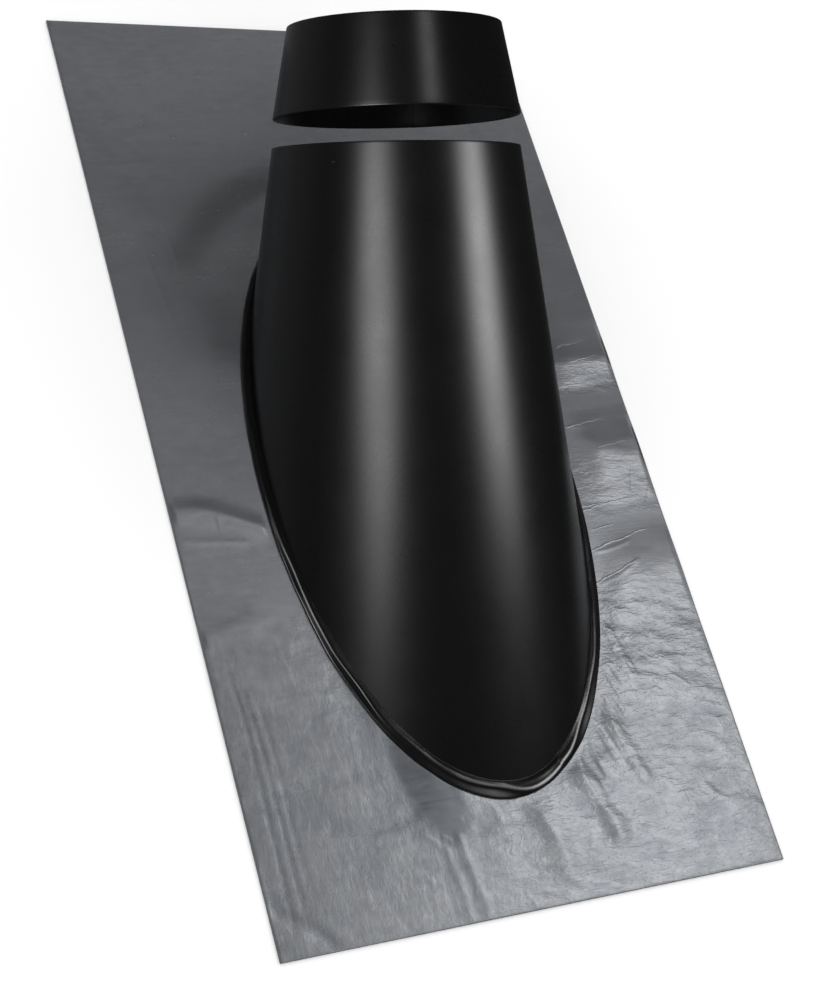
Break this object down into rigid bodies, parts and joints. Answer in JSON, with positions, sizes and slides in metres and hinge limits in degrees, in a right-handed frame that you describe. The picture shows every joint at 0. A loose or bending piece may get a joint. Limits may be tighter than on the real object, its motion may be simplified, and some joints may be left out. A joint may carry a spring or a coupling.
{
  "type": "pitched roof flue flashing",
  "caption": "Lead apron with a leaning steel cone that weathers a flue pipe through a pitched roof, and a storm collar above the cone's mouth.",
  "frame": {"origin": "centre of the apron's underside, on the roof's face", "axes": "+Z is the roof's outward normal, +Y points up the roof slope, X runs across the roof; the flue's axis leans from +Z towards +Y by the roof's pitch of 58 degrees"},
  "size_m": [0.52, 0.95, 0.2833],
  "materials": {
    "lead": "milled lead sheet, mid grey, finely crinkled, part dull and part burnished",
    "black_coat": "satin black powder coat on sheet steel",
    "gloss_black": "smooth gloss black"
  },
  "bodies": {
    "root": {"lead_apron": "lead", "flashing_cone": "black_coat", "foot_seam_band": "gloss_black", "storm_collar": "black_coat"}
  },
  "joints": []
}
